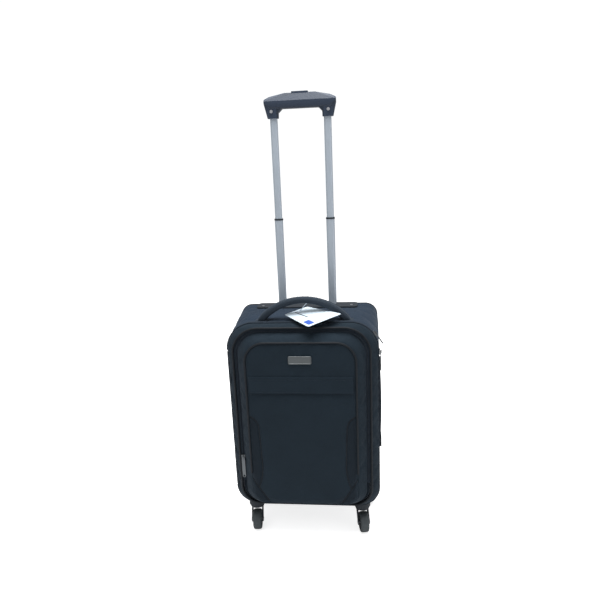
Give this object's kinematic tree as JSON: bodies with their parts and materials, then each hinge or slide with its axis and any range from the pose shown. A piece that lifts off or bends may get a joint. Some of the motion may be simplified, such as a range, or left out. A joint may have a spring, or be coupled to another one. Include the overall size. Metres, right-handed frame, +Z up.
{
  "type": "softside upright suitcase",
  "caption": "Softside cabin suitcase on swivel casters: zipped hinged lid with front pockets, padded carry handles and a telescopic push-button trolley handle.",
  "frame": {"origin": "on the floor, under the middle of the case", "axes": "+X to the right of somebody facing the front, +Y towards the back, +Z up along the trolley legs"},
  "size_m": [0.368, 0.2351, 1.051],
  "materials": {
    "fabric": "woven polyester, matt",
    "fabric_trim": "woven polyester insert",
    "handle_fabric": "padded woven webbing",
    "lining": "thin taffeta",
    "piping": "coated piping cord",
    "zip": "zip tape and nylon coil",
    "board": "stiffening board",
    "plastic": "moulded, fine grain",
    "grip": "moulded, satin",
    "wheel": "moulded wheel, satin",
    "aluminium": "anodised, brushed lengthwise",
    "steel": "zinc plated",
    "pewter": "dark plated casting",
    "plate": "dark brushed plate, blank",
    "paper": "plain card"
  },
  "bodies": {
    "case": {"back_board": "board", "back_cover": "fabric", "rear_piping": "piping", "side_wrap": "fabric", "shell_lining": "lining", "frame_wires": "steel", "base_tray": "plastic", "caster_housings": "plastic", "case_screws": "steel", "side_feet": "plastic", "outer_tubes": "steel", "tube_foot_bracket": "plastic", "trolley_bezel": "plastic", "side_handle_strap": "handle_fabric", "side_handle_mounts": "plastic", "case_zip_half": "zip", "lid_hinge_strip": "fabric"},
    "lid": {"lid_gusset": "fabric", "lid_board": "board", "lid_lining": "lining", "lid_piping": "piping", "lid_zip_half": "zip", "pocket_zip_tape": "zip", "pocket_zip_slider": "pewter"},
    "pocket_pull": {"pocket_zip_pull": "pewter"},
    "front_pocket": {"pocket_panel": "fabric", "panel_piping": "piping", "name_plate": "plate", "panel_overlays": "fabric_trim", "flap_zip": "zip"},
    "flap": {"pocket_flap": "fabric"},
    "upper_slider": {"upper_zip_slider": "pewter"},
    "upper_pull": {"upper_zip_pull": "pewter"},
    "lower_slider": {"lower_zip_slider": "pewter"},
    "lower_pull": {"lower_zip_pull": "pewter"},
    "carry_handle": {"top_handle": "handle_fabric"},
    "tag": {"hang_tag": "paper"},
    "middle_stage": {"middle_tubes": "aluminium", "stage_collars": "plastic"},
    "grip_stage": {"inner_tubes": "aluminium", "inner_plugs": "plastic", "grip_front_half": "grip", "grip_rear_half": "grip", "grip_rivets": "steel", "button_spring": "steel"},
    "button": {"push_button": "grip", "release_rods": "steel"},
    "locks": {"lock_pins": "steel"},
    "caster_front_left": {"fork_front_left": "plastic", "axle_front_left": "steel"},
    "wheel_front_left": {"wheel_front_left": "wheel"},
    "caster_front_right": {"fork_front_right": "plastic", "axle_front_right": "steel"},
    "wheel_front_right": {"wheel_front_right": "wheel"},
    "caster_rear_left": {"fork_rear_left": "plastic", "axle_rear_left": "steel"},
    "wheel_rear_left": {"wheel_rear_left": "wheel"},
    "caster_rear_right": {"fork_rear_right": "plastic", "axle_rear_right": "steel"},
    "wheel_rear_right": {"wheel_rear_right": "wheel"}
  },
  "joints": [
    {"name": "lid_open", "type": "hinge", "parent": "case", "child": "lid", "pos_m": [-0.1765, -0.064, 0.3], "axis": [0, 0, -1], "range_deg": [0, 165]},
    {"name": "pocket_open", "type": "hinge", "parent": "lid", "child": "front_pocket", "pos_m": [0, -0.0915, 0.095], "axis": [1, 0, 0], "range_deg": [0, 70], "stiffness_Nm_per_rad": 3},
    {"name": "flap_lift", "type": "hinge", "parent": "front_pocket", "child": "flap", "pos_m": [0, -0.1191, 0.4284], "axis": [-1, 0, 0], "range_deg": [0, 110]},
    {"name": "pocket_pull_swing", "type": "hinge", "parent": "lid", "child": "pocket_pull", "pos_m": [-0.1495, -0.094, 0.213], "axis": [-1, 0, 0], "range_deg": [0, 160]},
    {"name": "upper_slider_travel", "type": "hinge", "parent": "case", "child": "upper_slider", "pos_m": [0.111, -0.064, 0.477], "axis": [0, -1, 0], "range_deg": [0, 45]},
    {"name": "upper_pull_swing", "type": "hinge", "parent": "upper_slider", "child": "upper_pull", "pos_m": [0.16878, -0.064, 0.51453], "axis": [0, -1, 0], "range_deg": [0, 160]},
    {"name": "lower_slider_travel", "type": "slide", "parent": "case", "child": "lower_slider", "axis": [0, 0, 1], "range_m": [-0.324, 0], "stiffness_N_per_m": 30},
    {"name": "lower_pull_swing", "type": "hinge", "parent": "lower_slider", "child": "lower_pull", "pos_m": [0.1799, -0.064, 0.47], "axis": [0, -1, 0], "range_deg": [0, 120]},
    {"name": "handle_fold", "type": "hinge", "parent": "case", "child": "carry_handle", "pos_m": [0.005, -0.044, 0.543], "axis": [-1, 0, 0], "range_deg": [0, 45], "stiffness_Nm_per_rad": 0.6},
    {"name": "tag_lift", "type": "hinge", "parent": "case", "child": "tag", "pos_m": [0.009, -0.044, 0.57], "axis": [-1, 0, 0], "range_deg": [0, 12]},
    {"name": "middle_stage_slide", "type": "slide", "parent": "case", "child": "middle_stage", "axis": [0, 0, 1], "range_m": [-0.205, 0], "stiffness_N_per_m": 120},
    {"name": "grip_stage_slide", "type": "slide", "parent": "middle_stage", "child": "grip_stage", "axis": [0, 0, 1], "range_m": [-0.231, 0], "stiffness_N_per_m": 120},
    {"name": "button_press", "type": "slide", "parent": "grip_stage", "child": "button", "axis": [0, 0, 1], "range_m": [0, 0.005], "deforming": ["button_spring"]},
    {"name": "lock_pin_travel", "type": "slide", "parent": "grip_stage", "child": "locks", "axis": [0, 1, 0], "range_m": [0, 0.0025]},
    {"name": "swivel_front_left", "type": "hinge", "parent": "case", "child": "caster_front_left", "pos_m": [-0.1325, -0.046, 0.06], "axis": [0, 0, 1], "continuous": true},
    {"name": "roll_front_left", "type": "hinge", "parent": "caster_front_left", "child": "wheel_front_left", "pos_m": [-0.13072, -0.06291, 0.025], "axis": [0.9945, 0.1045, 0], "continuous": true},
    {"name": "swivel_front_right", "type": "hinge", "parent": "case", "child": "caster_front_right", "pos_m": [0.1325, -0.046, 0.06], "axis": [0, 0, 1], "continuous": true},
    {"name": "roll_front_right", "type": "hinge", "parent": "caster_front_right", "child": "wheel_front_right", "pos_m": [0.13574, -0.06269, 0.025], "axis": [0.9816, 0.1908, 0], "continuous": true},
    {"name": "swivel_rear_left", "type": "hinge", "parent": "case", "child": "caster_rear_left", "pos_m": [-0.1325, 0.076, 0.06], "axis": [0, 0, 1], "continuous": true},
    {"name": "roll_rear_left", "type": "hinge", "parent": "caster_rear_left", "child": "wheel_rear_left", "pos_m": [-0.13487, 0.05917, 0.025], "axis": [0.9903, -0.1392, 0], "continuous": true},
    {"name": "swivel_rear_right", "type": "hinge", "parent": "case", "child": "caster_rear_right", "pos_m": [0.1325, 0.076, 0.06], "axis": [0, 0, 1], "continuous": true},
    {"name": "roll_rear_right", "type": "hinge", "parent": "caster_rear_right", "child": "wheel_rear_right", "pos_m": [0.14513, 0.06463, 0.025], "axis": [0.6691, 0.7431, 0], "continuous": true}
  ],
  "couplings": [
    {"joint": "lock_pin_travel", "follows": "button_press", "ratio": 0.5}
  ]
}
